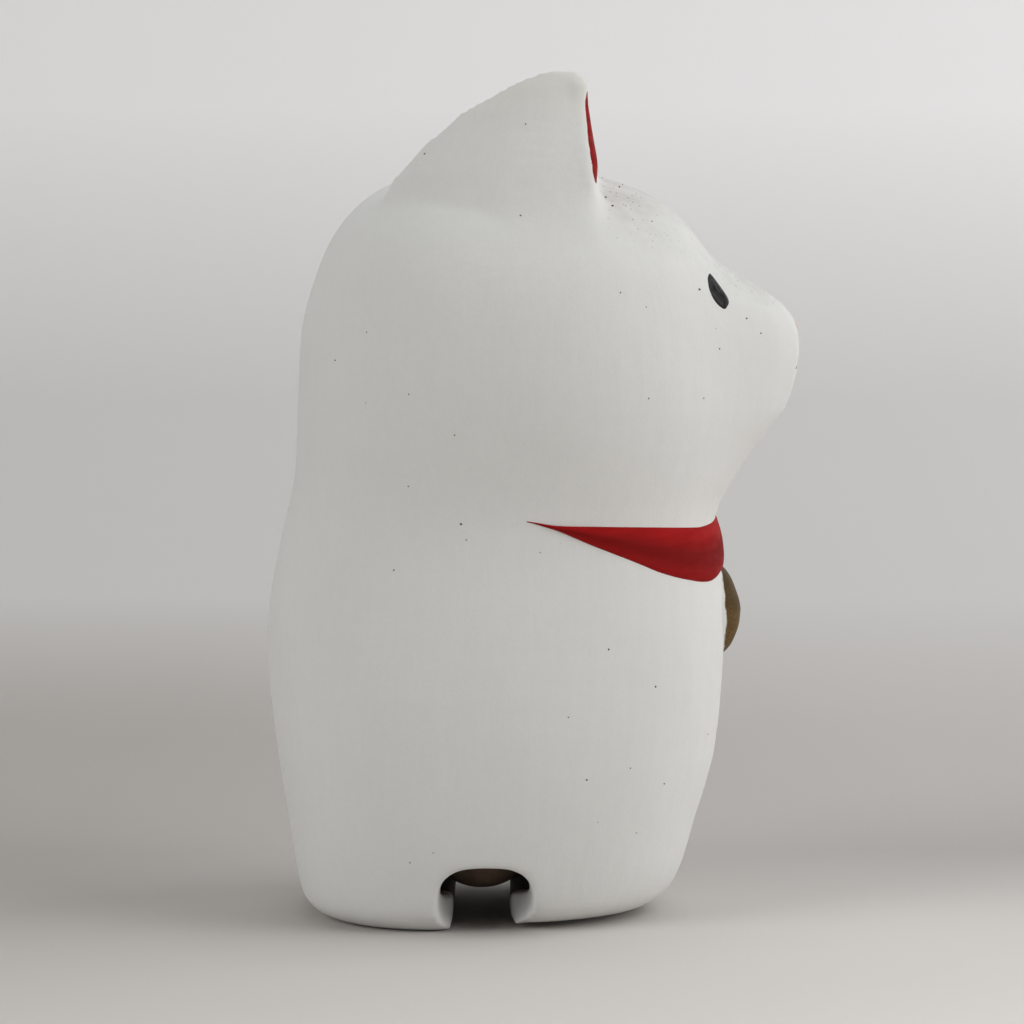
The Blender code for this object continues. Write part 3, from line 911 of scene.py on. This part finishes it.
join(collar_red, dry, collar_shader.inputs["Roughness"])
collar_shader.inputs["Specular IOR Level"].default_value = 0.04
bumped(collar_red, collar_shader, (streaks, 0.00004), (noise(collar_red, place, 4000.0), 0.00001))
piece("red_collar", smoothed(collar_mesh, 70.0), collar_red, BODY, "collar")


# --- The bell on the collar ----------------------------------------------------------------------
# A pressed half-round of clay stuck on below the collar. It has a rib round its middle and a slit
# below that, and is painted a brownish gold.

low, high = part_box("collar_bell")
bell_middle = (low + high) / 2
bell_radius = (high.z - low.z) / 2
BELL_RISE = 0.00150
BELL_RINGS, BELL_SPOKES = 28, 96
BELL_GOLD = (0.90 * bell_radius, 0.99 * bell_radius)  # how far the gold reaches across and up


def bell_height(x, z):
    """How far the bell stands out of the chest at a place from its middle."""
    away = min(1.0, math.hypot(x, z) / bell_radius)
    height = BELL_RISE * (1 - away**2) ** 0.8 * (1 - 0.12 * float(soft_step(z, 0.0003, 0.0022)))
    rib = 0.00003 * math.exp(-((z / 0.00028) ** 2)) * (1 - away**6)
    slit = 0.00030 * math.exp(-((x / 0.00030) ** 2)) * float(soft_step(-z, 0.0005, 0.0008))
    slit *= 1 - float(soft_step(-z, 0.0024, 0.0027))
    hole = 0.00034 * math.exp(-((x**2 + (z + 0.0027) ** 2) / 0.00055**2))
    return height + rib - max(slit, hole) * (1 - away**4)


bell_bm = bmesh.new()
rim = bell_bm.verts.layers.float.new("rim")
rows = []
for ring in range(BELL_RINGS + 2):
    away = bell_radius * math.sin(math.pi / 2 * min(ring, BELL_RINGS) / BELL_RINGS)
    row = []
    for spoke in range(BELL_SPOKES if ring else 1):
        turn = 2 * math.pi * spoke / BELL_SPOKES
        x, z = away * math.cos(turn), away * math.sin(turn)
        place, _ = on_skin((x, -OFF_BODY, bell_middle.z + z), (0, 1, 0))
        sunk = 0.0003 * (away / bell_radius) ** 6
        proud = bell_height(x, z) + 0.00012 - sunk if ring <= BELL_RINGS else -0.0005
        row.append(bell_bm.verts.new(place - Vector((0, proud, 0))))
        row[-1][rim] = math.hypot(x / BELL_GOLD[0], z / BELL_GOLD[1])
    rows.append(row)
for i in range(BELL_SPOKES):
    bell_bm.faces.new((rows[0][0], rows[1][i], rows[1][(i + 1) % BELL_SPOKES]))
for inner, outer in zip(rows[1:], rows[2:]):
    for i in range(BELL_SPOKES):
        j = (i + 1) % BELL_SPOKES
        bell_bm.faces.new((inner[i], outer[i], outer[j], inner[j]))
bell_bm.faces.new(rows[-1])
bmesh.ops.recalc_face_normals(bell_bm, faces=bell_bm.faces)
bell_mesh = bpy.data.meshes.new("gold_bell")
bell_bm.to_mesh(bell_mesh)
bell_bm.free()

gold_paint, gold_shader = shader_of("gold_paint")
place = object_place(gold_paint)
flakes = ranged(gold_paint, noise(gold_paint, place, 5000.0, 2.0), 0.35, 0.7)
colour = blended(gold_paint, flakes, (0.110, 0.066, 0.024), (0.21, 0.132, 0.052))
worn = ranged(gold_paint, noise(gold_paint, place, 500.0, 3.0), 0.4, 0.75, 0.0, 0.5)
colour = blended(gold_paint, worn, colour, (0.075, 0.045, 0.018))
level = add_node(gold_paint, "ShaderNodeSeparateXYZ")
join(gold_paint, place, level.inputs["Vector"])
# Painted shade: the bell's upper half, under the collar, is painted darker.
rib_z = bell_middle.z
upper = ranged(gold_paint, level.outputs["Z"], rib_z - 0.0004, rib_z + 0.0006, 0.0, 0.5)
colour = blended(gold_paint, upper, colour, (0.048, 0.032, 0.015))
# The brush leaves the bell's edge white.
edge = add_node(gold_paint, "ShaderNodeAttribute", attribute_name="rim").outputs["Fac"]
wobble = add_node(gold_paint, "ShaderNodeMath", operation="ADD")
join(gold_paint, edge, wobble.inputs[0])
shake = ranged(gold_paint, noise(gold_paint, place, 700.0), 0.3, 0.7, -0.02, 0.02)
join(gold_paint, shake, wobble.inputs[1])
bare = ranged(gold_paint, wobble.outputs["Value"], 0.985, 1.015)
colour = blended(gold_paint, bare, colour, (0.81, 0.81, 0.80))
join(gold_paint, colour, gold_shader.inputs["Base Color"])
join(gold_paint, ranged(gold_paint, bare, 0.0, 1.0, 0.10, 0.0), gold_shader.inputs["Metallic"])
join(gold_paint, ranged(gold_paint, bare, 0.0, 1.0, 0.50, 0.80), gold_shader.inputs["Roughness"])
gold_shader.inputs["Specular IOR Level"].default_value = 0.05
bumped(gold_paint, gold_shader, (noise(gold_paint, place, 3000.0, 2.0), 0.00003))
piece("gold_bell", smoothed(bell_mesh, 60.0), gold_paint, BODY, "collar_bell")


# --- The mouth and the claws ---------------------------------------------------------------------
# Thin strokes of the black lacquer, from the point of a fine brush: the mouth under the nose, and
# three short claws on the raised paw.


STROKE_PROUD = 0.00006
STROKE_SIDES = 8


def brush_stroke(bm, path, width, tree=body_tree):
    """A stroke along path, a list of (x, z), thin at both ends."""
    places = []
    for x, z in path:
        place, normal, _, _ = tree.ray_cast(Vector((x, -OFF_BODY, z)), Vector((0, 1, 0)))
        places.append((place, normal))
    rows = []
    for i, (place, normal) in enumerate(places):
        along = (places[min(i + 1, len(places) - 1)][0] - places[max(i - 1, 0)][0]).normalized()
        across = normal.cross(along).normalized()
        fullness = math.sin(math.pi * (i + 0.6) / (len(places) + 0.2)) ** 0.6
        row = []
        for k in range(STROKE_SIDES):
            turn = 2 * math.pi * k / STROKE_SIDES
            off = across * math.cos(turn) * width / 2 + normal * math.sin(turn) * STROKE_PROUD
            row.append(bm.verts.new(place + off * fullness))
        rows.append(row)
    for before, after in zip(rows, rows[1:]):
        for k in range(STROKE_SIDES):
            j = (k + 1) % STROKE_SIDES
            bm.faces.new((before[k], after[k], after[j], before[j]))
    bm.faces.new(rows[0])
    bm.faces.new(rows[-1])


def line_between(start, end, sag=0.0, count=9):
    path = []
    for i in range(count):
        t = i / (count - 1)
        dip = sag * 4 * t * (1 - t)
        path.append((start[0] + (end[0] - start[0]) * t, start[1] + (end[1] - start[1]) * t - dip))
    return path


def strokes_piece(name, bm):
    bmesh.ops.recalc_face_normals(bm, faces=bm.faces)
    mesh = bpy.data.meshes.new(name)
    bm.to_mesh(mesh)
    bm.free()
    piece(name, smoothed(mesh, 60.0), black_lacquer, BODY)


mouth = bmesh.new()
brush_stroke(mouth, line_between((0.0, NOSE_Z - 0.0009), (0.0, NOSE_Z - 0.0034)), 0.00018)
for side in (1, -1):
    corner = (side * 0.0019, NOSE_Z - 0.0038)
    brush_stroke(mouth, line_between((0.0, NOSE_Z - 0.0034), corner, 0.0005), 0.00020)
strokes_piece("mouth", mouth)

claws = bmesh.new()
leg = bmesh.new()
leg.from_mesh(foreleg)
leg_tree = tree_of(leg)
leg.free()
for toe in (-0.0024, 0.0, 0.0024):
    top = (paw_x + toe, paw_z - 0.0012 - abs(toe) * 0.3)
    brush_stroke(claws, line_between(top, (top[0], top[1] - 0.0014)), 0.00030, tree=leg_tree)
strokes_piece("claws", claws)


# --- The rattle ball -----------------------------------------------------------------------------
# A pellet of the same clay, rolled between the palms and dried before it goes in, so it isn't
# quite round. It is fired with the body and never painted.

low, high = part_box("rattle_ball")
ball_middle = (low + high) / 2
ball_radius = (high.z - low.z) / 2
ball_bm = bmesh.new()
bmesh.ops.create_icosphere(ball_bm, subdivisions=5, radius=1.0)
for vert in ball_bm.verts:
    d = vert.co.normalized()
    lump = 0.5 + 0.5 * math.sin(3.1 * d.x + 1.0) * math.sin(2.7 * d.y + 2.2) * math.cos(3.3 * d.z)
    vert.co = ball_middle + d * ball_radius * (0.972 + 0.026 * lump)
ball_mesh = bpy.data.meshes.new("clay_ball")
ball_bm.to_mesh(ball_mesh)
ball_bm.free()

bare_clay, clay_shader = shader_of("bare_clay")
place = object_place(bare_clay)
cloud = ranged(bare_clay, noise(bare_clay, place, 400.0, 4.0, 0.6), 0.3, 0.7)
# Painted shade: the ball's clay is painted darker than its own brown, for the shade inside the
# body.
colour = blended(bare_clay, cloud, (0.16, 0.105, 0.07), (0.26, 0.175, 0.12))
sand = specks(bare_clay, place, 900.0, 0.0004, 0.5)
colour = blended(bare_clay, sand, colour, (0.13, 0.09, 0.06))
join(bare_clay, colour, clay_shader.inputs["Base Color"])
clay_shader.inputs["Roughness"].default_value = 0.92
bumped(
    bare_clay,
    clay_shader,
    (noise(bare_clay, place, 300.0, 3.0), 0.0002),
    (noise(bare_clay, place, 2500.0, 2.0), 0.00006),
)
piece("clay_ball", smoothed(ball_mesh), bare_clay, "ball", "rattle_ball")
